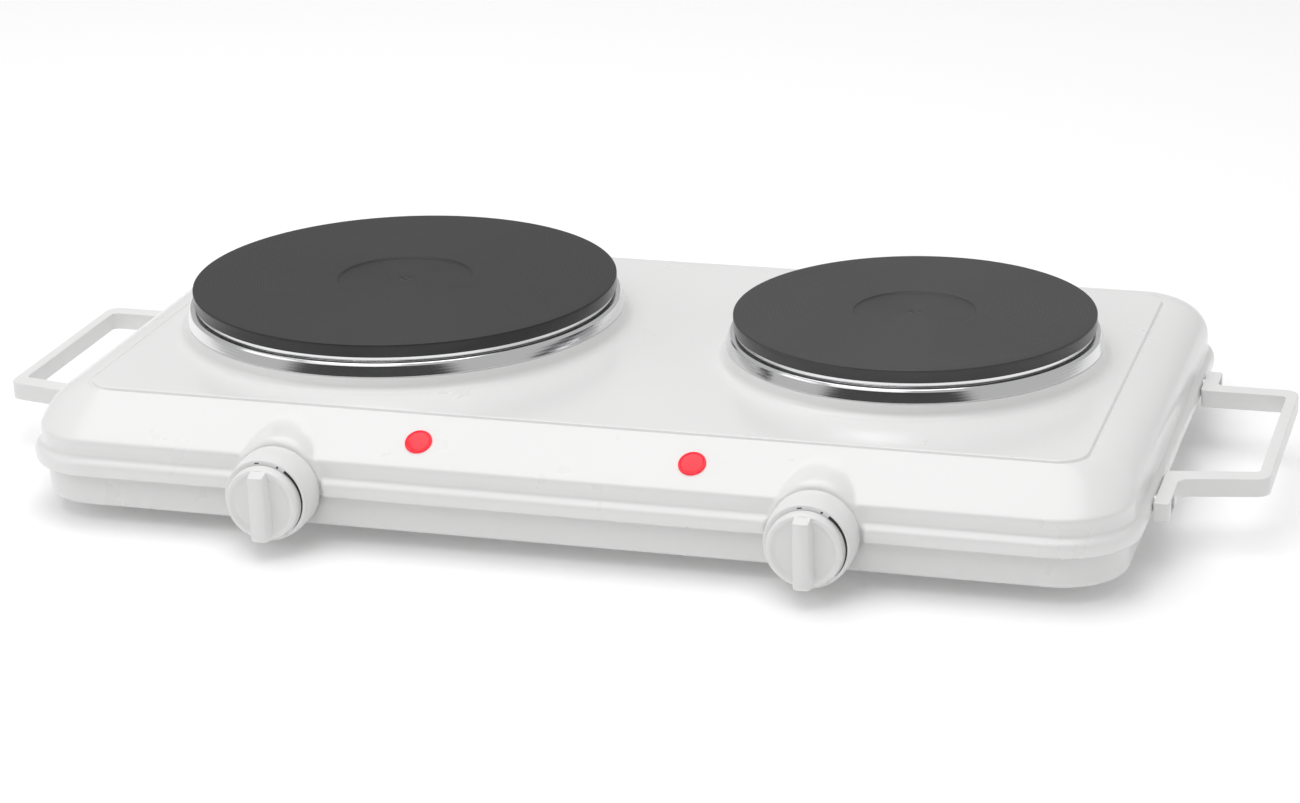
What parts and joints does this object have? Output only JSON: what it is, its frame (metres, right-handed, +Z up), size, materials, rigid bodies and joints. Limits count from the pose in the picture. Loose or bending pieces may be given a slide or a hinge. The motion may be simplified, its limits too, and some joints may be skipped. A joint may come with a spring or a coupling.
{
  "type": "hot plate burner",
  "caption": "Flat white enamelled table-top electric cooker with a large and a small round iron hotplate, turning heat knobs in front, red pilot lamps and side handles.",
  "frame": {"origin": "on the table under the middle of the whole object, handles, knobs and gland included", "axes": "+X to the right of the user who faces the knobs, +Y to the back, +Z up"},
  "size_m": [0.5606, 0.3, 0.073],
  "materials": {
    "cover_enamel": "glossy white enamel",
    "tray_enamel": "glossy white enamel",
    "black_rubber": "matt",
    "plate_iron": "turned and coated",
    "ring_steel": "polished",
    "element_steel": "heat-darkened",
    "refractory": "chalky",
    "ceramic_white": "glazed",
    "lens_red": "polished",
    "holder_plastic": "satin",
    "knob_plastic": "satin gloss",
    "handle_plastic": "satin gloss",
    "wire_sleeve": "woven sleeve",
    "brass_fittings": "plain",
    "plated_steel": "zinc plated"
  },
  "bodies": {
    "housing": {"base_tray": "tray_enamel", "bush_nuts": "brass_fittings", "control_tabs": "brass_fittings", "cord_gland": "black_rubber", "earth_tag": "brass_fittings", "foot_screws": "plated_steel", "handle_nuts": "plated_steel", "handle_screws": "plated_steel", "handle_spacers": "plated_steel", "internal_wiring": "wire_sleeve", "large_clamp_bar": "plated_steel", "large_coil_bed": "refractory", "large_cooking_plate": "plate_iron", "large_heating_coils": "element_steel", "large_terminal_block": "ceramic_white", "large_trim_ring": "ring_steel", "large_under_cover": "plated_steel", "left_contact_springs": "brass_fittings", "left_control_bimetal": "element_steel", "left_control_body": "ceramic_white", "left_control_bracket": "plated_steel", "left_control_bush": "brass_fittings", "left_handle": "handle_plastic", "left_knob_bezel": "knob_plastic", "left_lamp_holder": "holder_plastic", "left_lamp_lens": "lens_red", "mains_terminal_block": "ceramic_white", "plate_studs": "plated_steel", "plate_terminal_pins": "brass_fittings", "right_contact_springs": "brass_fittings", "right_control_bimetal": "element_steel", "right_control_body": "ceramic_white", "right_control_bracket": "plated_steel", "right_control_bush": "brass_fittings", "right_handle": "handle_plastic", "right_knob_bezel": "knob_plastic", "right_lamp_holder": "holder_plastic", "right_lamp_lens": "lens_red", "rubber_feet": "black_rubber", "small_clamp_bar": "plated_steel", "small_coil_bed": "refractory", "small_cooking_plate": "plate_iron", "small_heating_coils": "element_steel", "small_terminal_block": "ceramic_white", "small_trim_ring": "ring_steel", "small_under_cover": "plated_steel", "stud_nuts": "plated_steel", "stud_washers": "plated_steel", "terminal_screws": "brass_fittings", "tie_posts": "plated_steel", "top_cover": "cover_enamel"},
    "left_knob_assembly": {"left_knob": "knob_plastic", "left_knob_clip": "plated_steel", "left_spindle": "plated_steel"},
    "right_knob_assembly": {"right_knob": "knob_plastic", "right_knob_clip": "plated_steel", "right_spindle": "plated_steel"}
  },
  "joints": [
    {"name": "left_knob_turn", "type": "hinge", "parent": "housing", "child": "left_knob_assembly", "pos_m": [-0.1163, -0.1405, 0.0247], "axis": [0, 1, 0], "range_deg": [0, 270]},
    {"name": "right_knob_turn", "type": "hinge", "parent": "housing", "child": "right_knob_assembly", "pos_m": [0.1119, -0.1405, 0.0247], "axis": [0, 1, 0], "range_deg": [0, 270]}
  ]
}
